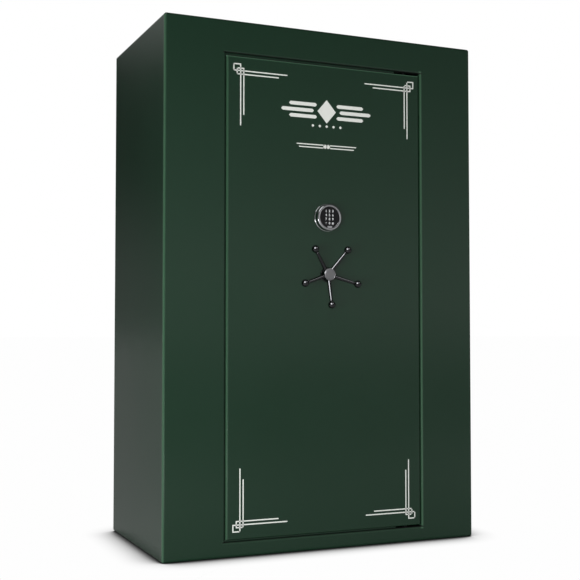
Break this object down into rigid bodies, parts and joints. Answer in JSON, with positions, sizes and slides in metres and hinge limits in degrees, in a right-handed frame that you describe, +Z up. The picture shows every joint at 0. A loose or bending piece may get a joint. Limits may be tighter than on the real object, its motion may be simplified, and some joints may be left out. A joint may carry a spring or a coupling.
{
  "type": "gun safe",
  "caption": "Tall steel gun safe: flush door on concealed pivots, spoked handle driving rack-and-pinion bolts on all sides, round keypad lock, carpeted gun bay and shelves.",
  "frame": {"origin": "centre of the cabinet's underside, on the floor", "axes": "+X to the right seen from the front, +Y towards the back, +Z up; the door faces -Y"},
  "size_m": [1.197, 0.6967, 1.829],
  "materials": {
    "green_paint": "smooth semi-gloss dark green enamel",
    "zinc_steel": "zinc plated sheet and bar",
    "bright_steel": "ground steel",
    "black_oxide": "oiled black oxide on ground steel",
    "chrome": "polished chrome plate",
    "black_nickel": "polished black nickel plate",
    "fireboard": "gypsum board with paper faces",
    "carpet_board": "board wrapped in short-pile grey carpet",
    "seal": "matt black intumescent strip",
    "brass": "turned brass",
    "slide_plastic": "off-white slide plastic",
    "gloss_black": "gloss black moulding",
    "circuit_board": "matt green laminate",
    "cable_sheath": "black sheath",
    "key_rubber": "satin black rubber with light legends"
  },
  "bodies": {
    "cabinet": {"body_wrap": "green_paint", "back_panel": "green_paint", "front_frame": "green_paint", "door_stop": "green_paint", "jamb_seal": "seal", "fireboard_lining": "fireboard", "liner_left": "carpet_board", "liner_right": "carpet_board", "liner_back": "carpet_board", "liner_ceiling": "carpet_board", "liner_floor": "carpet_board", "divider": "carpet_board", "top_shelf": "carpet_board", "side_shelves": "carpet_board", "shelf_hardware": "zinc_steel", "barrel_rack": "carpet_board", "hinge_brackets": "green_paint", "hinge_pins": "black_oxide", "hinge_bearing": "black_oxide"},
    "door": {"hinge_blocks": "green_paint", "door_plate": "green_paint", "door_pan": "green_paint", "door_fireboard": "fireboard", "hard_plate": "bright_steel", "mechanism_plate": "zinc_steel", "spindle_bushings": "brass", "bar_glides": "slide_plastic", "door_trim_panel": "carpet_board", "door_screws": "bright_steel", "lock_case": "zinc_steel", "keypad_housing": "chrome", "keypad_face": "gloss_black", "keypad_board": "circuit_board", "keypad_cable": "cable_sheath"},
    "handle": {"handle_hub": "black_nickel", "handle_spokes": "black_nickel", "handle_knobs": "black_nickel", "spindle": "bright_steel", "pinion": "bright_steel"},
    "left_bolt_rack": {"left_bolt_bar": "zinc_steel", "left_bolts": "chrome"},
    "right_bolt_rack": {"right_bolt_bar": "zinc_steel", "right_bolts": "chrome"},
    "top_bolt_rack": {"top_bolt_bar": "zinc_steel", "top_bolts": "chrome"},
    "bottom_bolt_rack": {"bottom_bolt_bar": "zinc_steel", "bottom_bolts": "chrome"},
    "lock_bolt": {"lock_bolt": "bright_steel"},
    "key_1": {"key_1": "key_rubber"},
    "key_2": {"key_2": "key_rubber"},
    "key_3": {"key_3": "key_rubber"},
    "key_4": {"key_4": "key_rubber"},
    "key_5": {"key_5": "key_rubber"},
    "key_6": {"key_6": "key_rubber"},
    "key_7": {"key_7": "key_rubber"},
    "key_8": {"key_8": "key_rubber"},
    "key_9": {"key_9": "key_rubber"},
    "key_star": {"key_star": "key_rubber"},
    "key_0": {"key_0": "key_rubber"},
    "key_hash": {"key_hash": "key_rubber"}
  },
  "joints": [
    {"name": "door_swing", "type": "hinge", "parent": "cabinet", "child": "door", "pos_m": [0.321, -0.298, 1], "axis": [0, 0, 1], "range_deg": [0, 100]},
    {"name": "handle_turn", "type": "hinge", "parent": "door", "child": "handle", "pos_m": [0, -0.322, 0.961], "axis": [0, -1, 0], "range_deg": [0, 90]},
    {"name": "left_bolt_slide", "type": "slide", "parent": "door", "child": "left_bolt_rack", "axis": [-1, 0, 0], "range_m": [0, 0.03142]},
    {"name": "right_bolt_slide", "type": "slide", "parent": "door", "child": "right_bolt_rack", "axis": [1, 0, 0], "range_m": [0, 0.03142]},
    {"name": "top_bolt_slide", "type": "slide", "parent": "door", "child": "top_bolt_rack", "axis": [0, 0, 1], "range_m": [0, 0.03142]},
    {"name": "bottom_bolt_slide", "type": "slide", "parent": "door", "child": "bottom_bolt_rack", "axis": [0, 0, -1], "range_m": [0, 0.03142]},
    {"name": "lock_bolt_slide", "type": "slide", "parent": "door", "child": "lock_bolt", "axis": [1, 0, 0], "range_m": [0, 0.012]},
    {"name": "key_1_press", "type": "slide", "parent": "door", "child": "key_1", "axis": [0, 1, 0], "range_m": [0, 0.0012], "stiffness_N_per_m": 500},
    {"name": "key_2_press", "type": "slide", "parent": "door", "child": "key_2", "axis": [0, 1, 0], "range_m": [0, 0.0012], "stiffness_N_per_m": 500},
    {"name": "key_3_press", "type": "slide", "parent": "door", "child": "key_3", "axis": [0, 1, 0], "range_m": [0, 0.0012], "stiffness_N_per_m": 500},
    {"name": "key_4_press", "type": "slide", "parent": "door", "child": "key_4", "axis": [0, 1, 0], "range_m": [0, 0.0012], "stiffness_N_per_m": 500},
    {"name": "key_5_press", "type": "slide", "parent": "door", "child": "key_5", "axis": [0, 1, 0], "range_m": [0, 0.0012], "stiffness_N_per_m": 500},
    {"name": "key_6_press", "type": "slide", "parent": "door", "child": "key_6", "axis": [0, 1, 0], "range_m": [0, 0.0012], "stiffness_N_per_m": 500},
    {"name": "key_7_press", "type": "slide", "parent": "door", "child": "key_7", "axis": [0, 1, 0], "range_m": [0, 0.0012], "stiffness_N_per_m": 500},
    {"name": "key_8_press", "type": "slide", "parent": "door", "child": "key_8", "axis": [0, 1, 0], "range_m": [0, 0.0012], "stiffness_N_per_m": 500},
    {"name": "key_9_press", "type": "slide", "parent": "door", "child": "key_9", "axis": [0, 1, 0], "range_m": [0, 0.0012], "stiffness_N_per_m": 500},
    {"name": "key_star_press", "type": "slide", "parent": "door", "child": "key_star", "axis": [0, 1, 0], "range_m": [0, 0.0012], "stiffness_N_per_m": 500},
    {"name": "key_0_press", "type": "slide", "parent": "door", "child": "key_0", "axis": [0, 1, 0], "range_m": [0, 0.0012], "stiffness_N_per_m": 500},
    {"name": "key_hash_press", "type": "slide", "parent": "door", "child": "key_hash", "axis": [0, 1, 0], "range_m": [0, 0.0012], "stiffness_N_per_m": 500}
  ],
  "couplings": [
    {"joint": "left_bolt_slide", "follows": "handle_turn", "m_per_rad": 0.02},
    {"joint": "right_bolt_slide", "follows": "handle_turn", "m_per_rad": 0.02},
    {"joint": "top_bolt_slide", "follows": "handle_turn", "m_per_rad": 0.02},
    {"joint": "bottom_bolt_slide", "follows": "handle_turn", "m_per_rad": 0.02}
  ]
}
